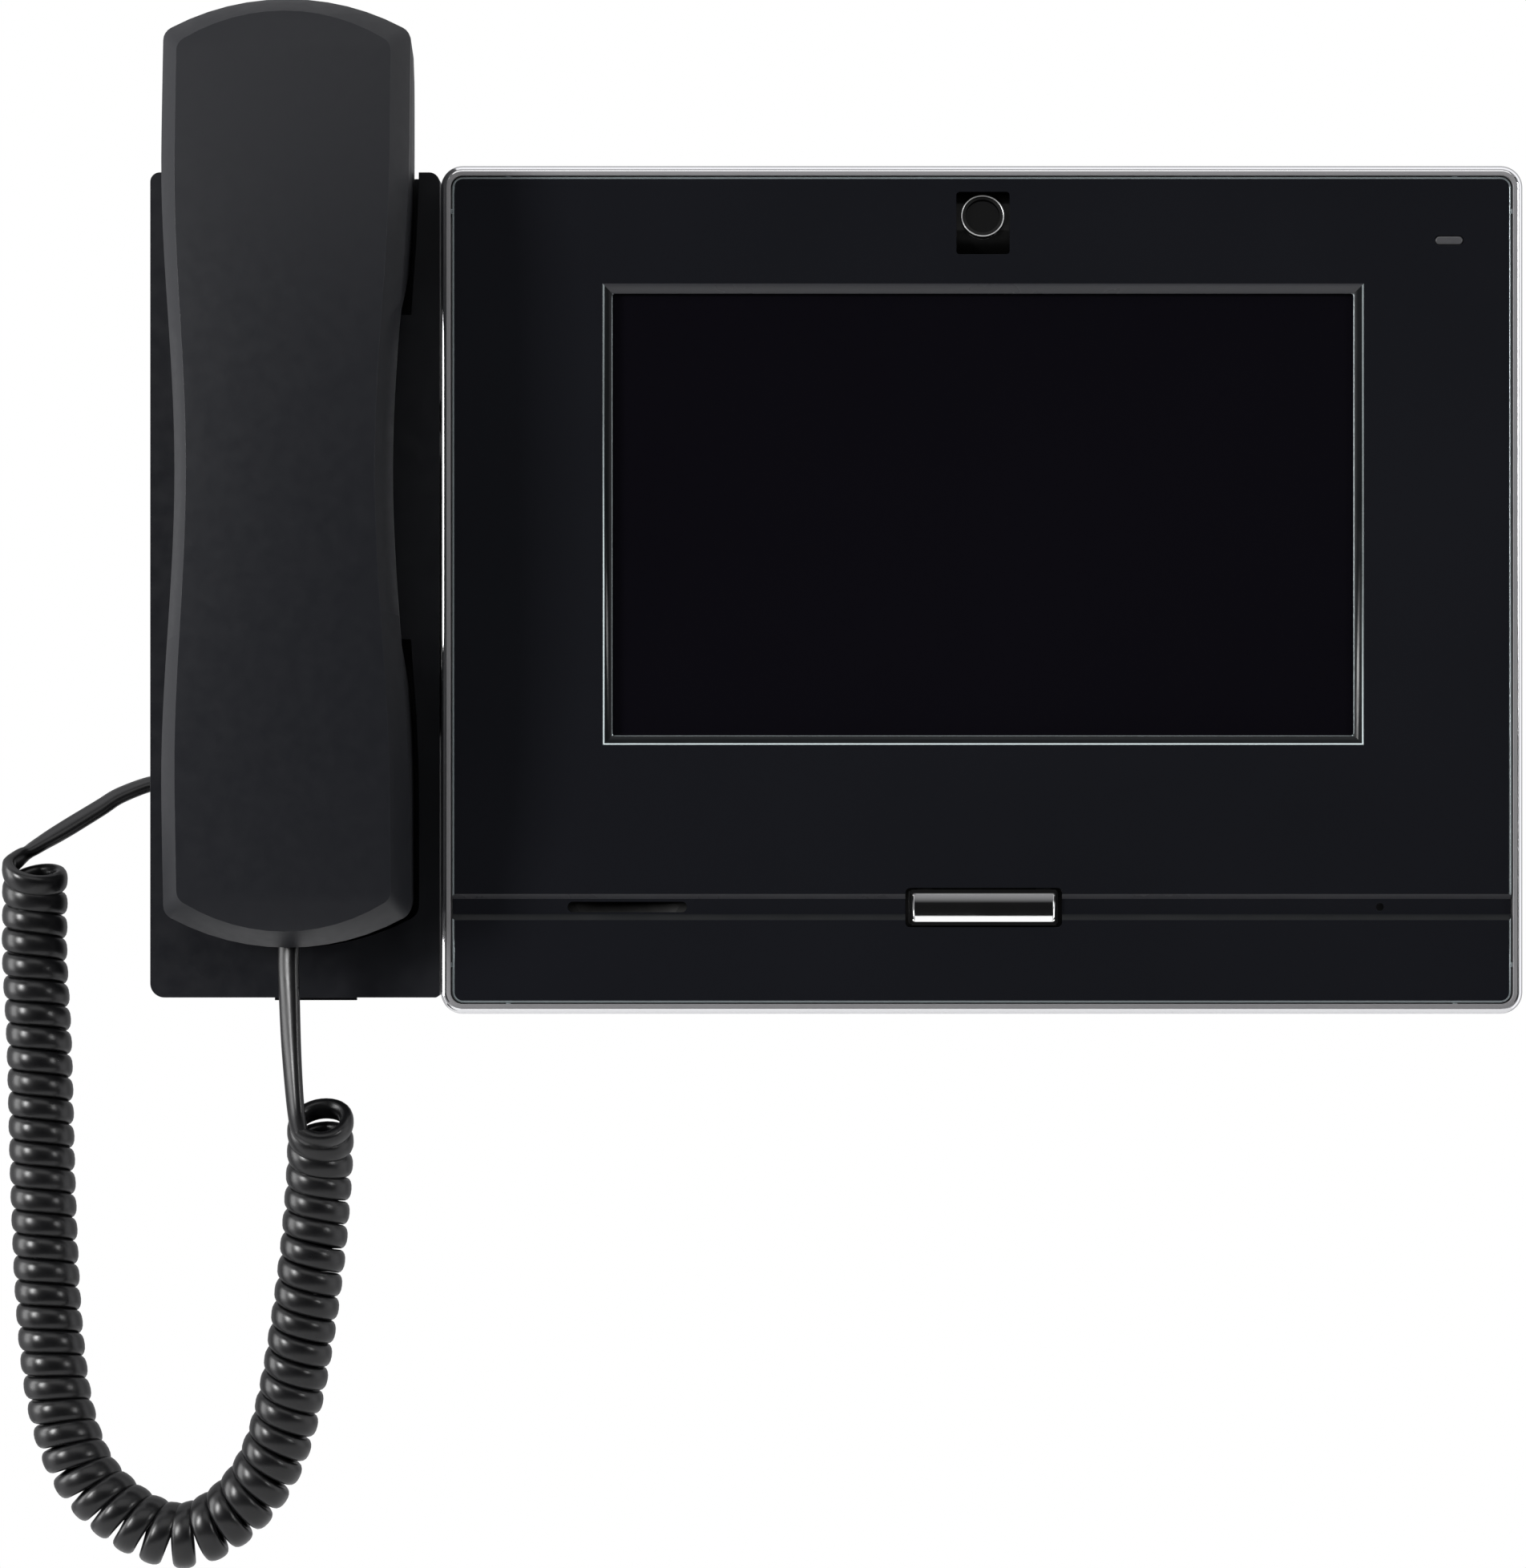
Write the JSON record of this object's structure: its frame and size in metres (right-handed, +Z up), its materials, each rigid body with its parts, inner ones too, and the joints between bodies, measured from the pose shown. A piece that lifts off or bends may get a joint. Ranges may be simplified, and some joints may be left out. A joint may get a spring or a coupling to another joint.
{
  "type": "video intercom monitor",
  "caption": "Wall-hung video door intercom monitor with a touch screen, a silver-framed black front and a corded handset in a side cradle.",
  "frame": {"origin": "centre of the wall plate, on its back face, which lies on the wall", "axes": "+Z up, +Y into the wall, so the screen faces -Y; +X is to the right as a user looks at it"},
  "size_m": [0.3194, 0.065, 0.3269],
  "materials": {
    "plated_steel": "zinc plated, satin",
    "screw_steel": "zinc plated",
    "housing_grey": "fine moulded texture",
    "silver_frame": "silver metallic plating, satin",
    "black_acrylic": "polished sheet with satin face",
    "black_rubber": "matt",
    "touch_glass": "polished",
    "lcd_black": "dark, unlit",
    "tray_metal": "satin",
    "flex_cable": "amber film",
    "circuit_board": "solder mask, satin",
    "terminal_green": "moulded",
    "inner_plastic": "moulded",
    "magnet_steel": "plain",
    "cone_paper": "pressed paper",
    "lamp_lens": "translucent, unlit",
    "camera_black": "satin",
    "lens_ring_metal": "turned, satin",
    "lens_glass": "coated",
    "spring_wire": "drawn wire",
    "button_chrome": "mirror plated",
    "cradle_black": "satin, fine texture",
    "plug_clear": "clear moulded",
    "link_grey": "flat ribbon",
    "cord_black": "glossy sheath",
    "handset_front_black": "satin, fine texture",
    "handset_back_black": "satin, fine texture"
  },
  "bodies": {
    "station": {"wall_plate": "plated_steel", "rear_cover": "housing_grey", "bezel_frame": "silver_frame", "front_panel": "black_acrylic", "screen_gasket": "black_rubber", "touch_glass": "touch_glass", "lcd_panel": "lcd_black", "backlight_tray": "tray_metal", "screen_bracket": "plated_steel", "lcd_ribbon": "flex_cable", "main_board": "circuit_board", "processor_shield": "plated_steel", "lan_socket": "plated_steel", "terminal_block": "terminal_green", "inner_screws": "screw_steel", "case_screws": "screw_steel", "speaker_basket": "inner_plastic", "speaker_magnet": "magnet_steel", "speaker_cone": "cone_paper", "speaker_gasket": "black_rubber", "mic_boot": "black_rubber", "mic_capsule": "tray_metal", "led_lens": "lamp_lens", "led_board": "circuit_board", "camera_yoke": "inner_plastic", "button_guide": "inner_plastic", "button_board": "circuit_board", "tact_switch": "inner_plastic", "button_springs": "spring_wire", "side_bracket": "plated_steel", "side_screws": "screw_steel", "cradle_shell": "cradle_black", "cradle_back": "cradle_black", "cradle_screws": "screw_steel", "hook_board": "circuit_board", "hook_switch": "inner_plastic", "hook_spring": "spring_wire", "base_socket": "inner_plastic", "base_cord_plug": "plug_clear", "link_cable": "link_grey", "cord_base_tail": "cord_black", "cord_curl": "cord_black", "cord_handset_tail": "cord_black"},
    "camera": {"camera_drum": "camera_black", "lens_ring": "lens_ring_metal", "camera_lens": "lens_glass", "camera_module": "circuit_board"},
    "talk_button": {"talk_button": "button_chrome"},
    "hook": {"hook_plunger": "inner_plastic"},
    "handset": {"handset_front": "handset_front_black", "handset_back": "handset_back_black", "handset_screws": "screw_steel", "ear_capsule": "inner_plastic", "ear_gasket": "black_rubber", "handset_mic": "tray_metal", "handset_mic_boot": "black_rubber", "handset_weight": "magnet_steel", "handset_socket": "inner_plastic", "handset_cord_plug": "plug_clear"}
  },
  "joints": [
    {"name": "camera_tilt", "type": "hinge", "parent": "station", "child": "camera", "pos_m": [0.00025, -0.0286, 0.0763], "axis": [-1, 0, 0], "range_deg": [-15, 10]},
    {"name": "talk_press", "type": "slide", "parent": "station", "child": "talk_button", "axis": [0, 1, 0], "range_m": [0, 0.001], "stiffness_N_per_m": 600, "springref_m": -0.0008, "deforming": ["button_springs"]},
    {"name": "handset_lift", "type": "slide", "parent": "station", "child": "handset", "axis": [0, -0.96, 0.28], "range_m": [0, 0.06], "deforming": ["cord_curl", "cord_handset_tail", "cord_base_tail"]},
    {"name": "hook_out", "type": "slide", "parent": "station", "child": "hook", "axis": [0, -1, 0], "range_m": [0, 0.003], "deforming": ["hook_spring"]}
  ],
  "couplings": [
    {"joint": "hook_out", "follows": "handset_lift", "ratio": 0.05}
  ]
}
